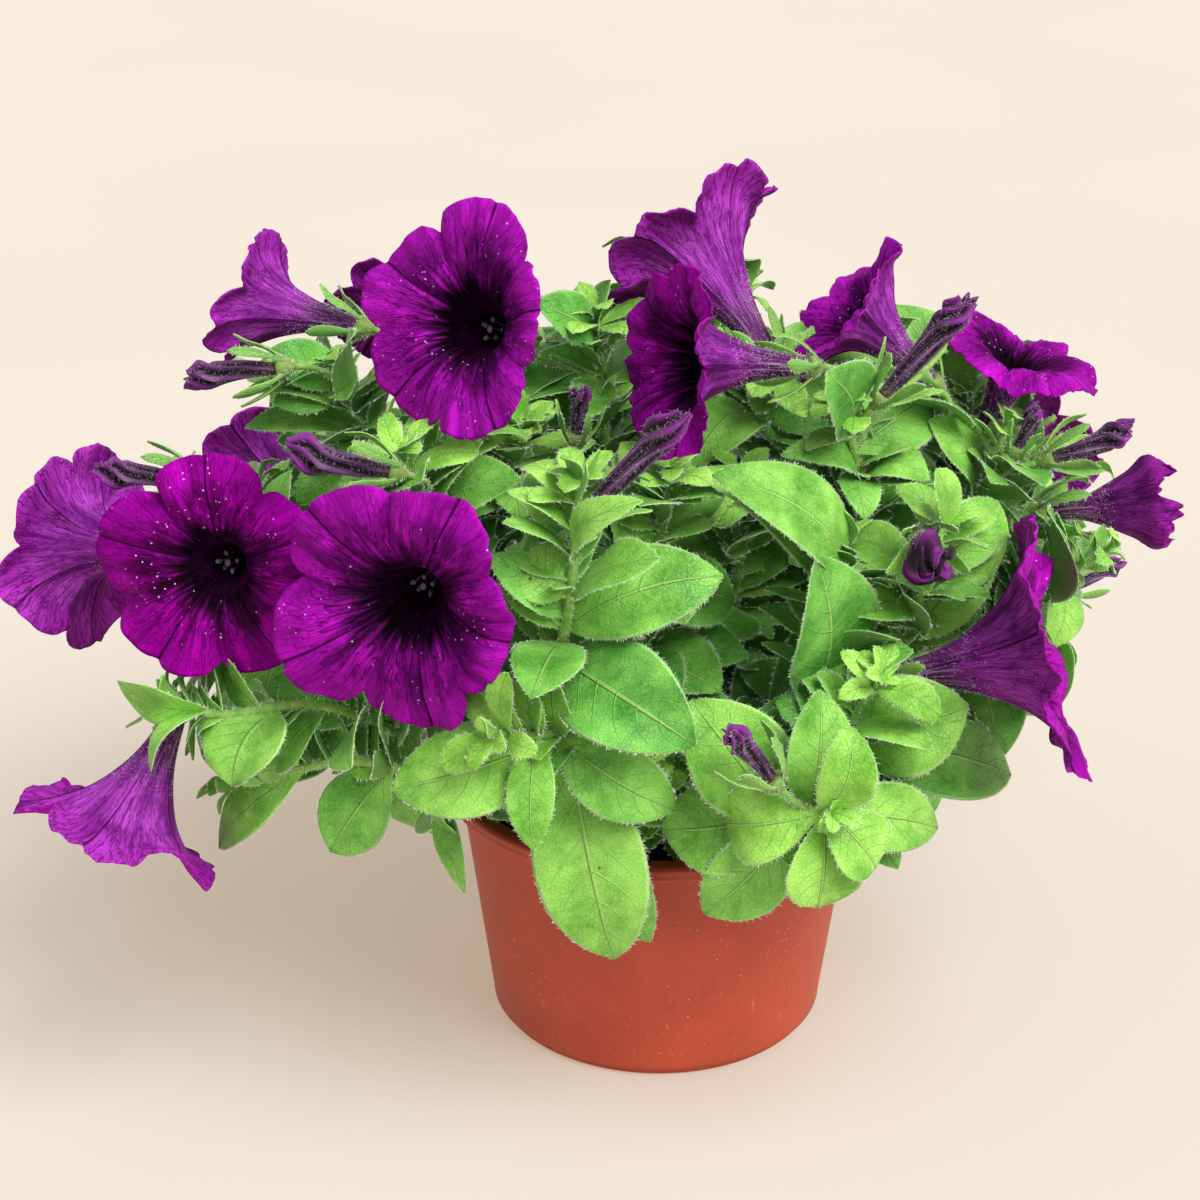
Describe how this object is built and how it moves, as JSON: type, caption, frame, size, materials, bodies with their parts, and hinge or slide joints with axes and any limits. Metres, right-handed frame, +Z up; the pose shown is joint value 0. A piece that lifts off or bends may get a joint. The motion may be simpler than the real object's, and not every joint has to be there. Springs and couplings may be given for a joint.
{
  "type": "potted petunia",
  "caption": "Low round plastic nursery pot filled with soil, with leafy shoots that spill over its rim and carry trumpet-shaped blooms and closed buds.",
  "frame": {"origin": "centre of the pot's flat underside", "axes": "+Z up along the pot's axis, front towards -Y, +X to the right seen from the front"},
  "size_m": [0.3489, 0.2743, 0.2594],
  "materials": {
    "pot_plastic": "terracotta coloured plastic, slightly scuffed",
    "soil_peat": "dark crumbly potting soil",
    "leaf_green": "mid green leaves and stems, finely hairy, matt",
    "petal_purple": "deep magenta purple petals with dark veins, soft sheen",
    "bud_purple": "dark purple pleated buds, hairy, matt"
  },
  "bodies": {
    "root": {"bloom_back_high": "petal_purple", "bloom_back_left": "petal_purple", "bloom_back_low": "petal_purple", "bloom_back_right": "petal_purple", "bloom_behind_top_left": "petal_purple", "bloom_centre": "petal_purple", "bloom_far_left": "petal_purple", "bloom_far_right": "petal_purple", "bloom_left": "petal_purple", "bloom_left_front": "petal_purple", "bloom_low_left": "petal_purple", "bloom_right": "petal_purple", "bloom_right_top": "petal_purple", "bloom_top": "petal_purple", "bloom_top_left": "petal_purple", "bloom_upper_left": "petal_purple", "bloom_upper_right": "petal_purple", "bud_back_low": "bud_purple", "bud_back_tall": "bud_purple", "bud_back_upright": "bud_purple", "bud_crumpled": "bud_purple", "bud_front_right": "bud_purple", "bud_front_small": "bud_purple", "bud_front_tall": "bud_purple", "bud_left_middle": "bud_purple", "bud_left_top": "bud_purple", "bud_left_upper": "bud_purple", "bud_right_small": "bud_purple", "bud_right_tall": "bud_purple", "bud_right_upper": "bud_purple", "pot": "pot_plastic", "shoot_back_far_left": "leaf_green", "shoot_back_left": "leaf_green", "shoot_back_middle": "leaf_green", "shoot_back_right": "leaf_green", "shoot_centre": "leaf_green", "shoot_centre_right": "leaf_green", "shoot_far_right": "leaf_green", "shoot_front_centre": "leaf_green", "shoot_front_low": "leaf_green", "shoot_inner_back": "leaf_green", "shoot_inner_front": "leaf_green", "shoot_inner_left": "leaf_green", "shoot_inner_middle": "leaf_green", "shoot_left_far": "leaf_green", "shoot_left_low": "leaf_green", "shoot_left_mid": "leaf_green", "shoot_left_trail": "leaf_green", "shoot_right": "leaf_green", "shoot_right_back": "leaf_green", "shoot_right_front": "leaf_green", "shoot_right_mid": "leaf_green", "shoot_right_top": "leaf_green", "shoot_top": "leaf_green", "shoot_top_left": "leaf_green", "shoot_top_right": "leaf_green", "shoot_upper_right": "leaf_green", "soil": "soil_peat"}
  },
  "joints": []
}
